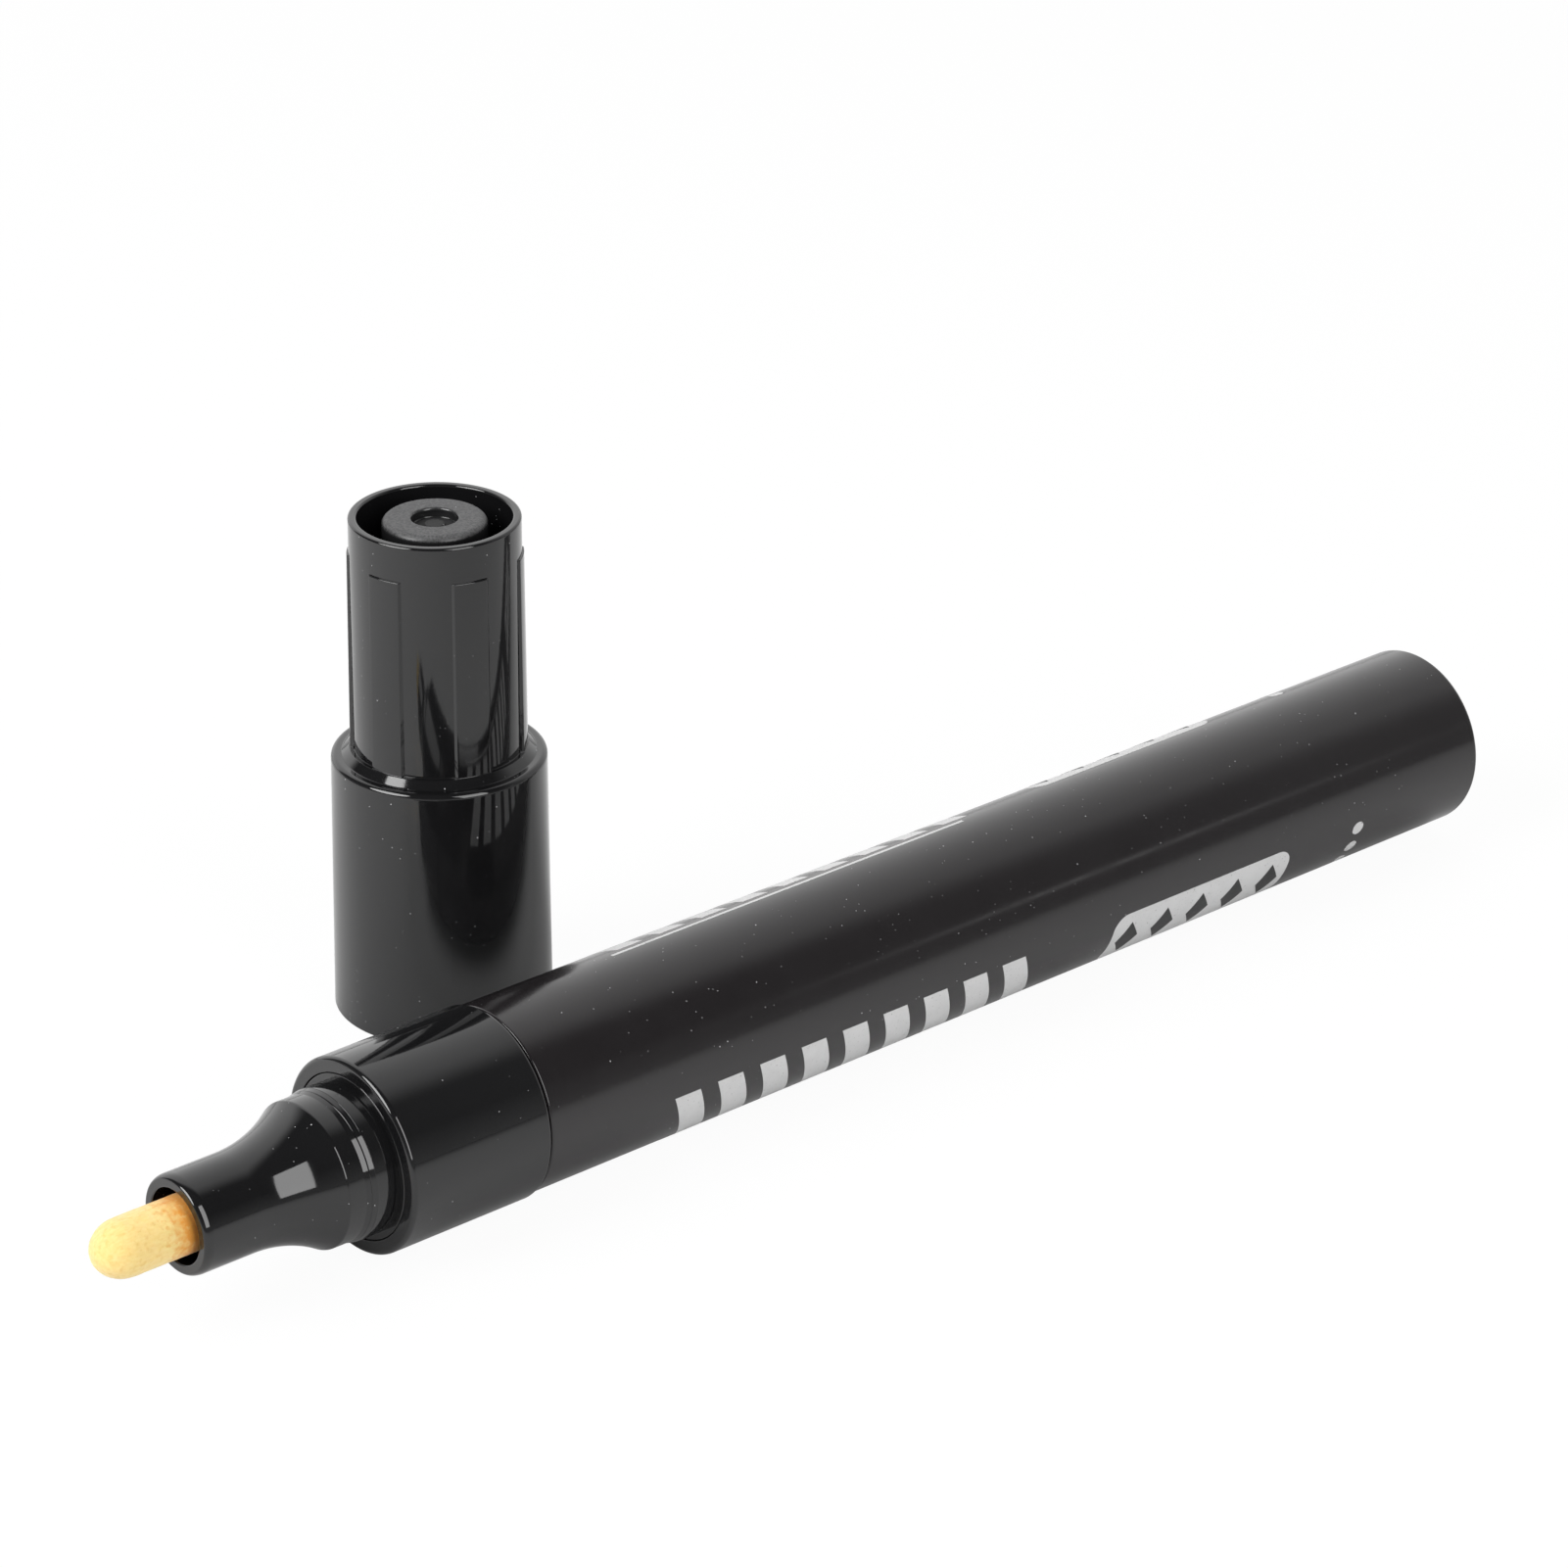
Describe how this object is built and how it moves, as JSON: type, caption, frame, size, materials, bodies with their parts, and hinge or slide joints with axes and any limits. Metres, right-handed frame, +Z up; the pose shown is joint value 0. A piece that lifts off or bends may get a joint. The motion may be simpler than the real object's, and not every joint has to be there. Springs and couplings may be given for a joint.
{
  "type": "livestock marker",
  "caption": "Valve-action paint marker with a felt bullet nib, lying uncapped, with its ribbed push-on cap standing beside it.",
  "frame": {"origin": "on the floor, below the middle of the whole", "axes": "+X along the barrel towards its closed rear end, +Y from the marker towards the cap, +Z up"},
  "size_m": [0.136, 0.0436, 0.0419],
  "materials": {
    "barrel_paint": "satin",
    "black_plastic": "gloss",
    "felt": "matte",
    "seal_plastic": "matte",
    "valve_plastic": "satin",
    "spring_steel": "drawn wire",
    "ball_steel": "polished"
  },
  "bodies": {
    "marker": {"barrel": "barrel_paint", "front_collar": "black_plastic", "nozzle": "black_plastic", "valve_seat": "valve_plastic", "valve_cage": "valve_plastic", "valve_spring": "spring_steel"},
    "nib_and_plunger": {"nib": "felt", "valve_plunger": "valve_plastic"},
    "ball": {"mixing_ball": "ball_steel"},
    "cap": {"cap_shell": "black_plastic", "cap_inner_seal": "seal_plastic"}
  },
  "joints": [
    {"name": "nib_press", "type": "slide", "parent": "marker", "child": "nib_and_plunger", "axis": [1, 0, 0], "range_m": [0, 0.0025], "stiffness_N_per_m": 200, "springref_m": -0.004, "deforming": ["valve_spring"]},
    {"name": "ball_roll", "type": "slide", "parent": "marker", "child": "ball", "axis": [1, 0, 0], "range_m": [-0.0384, 0.0384]},
    {"name": "cap_lift", "type": "slide", "parent": "marker", "child": "cap", "axis": [0, 0, 1], "range_m": [0, 0.05]}
  ]
}
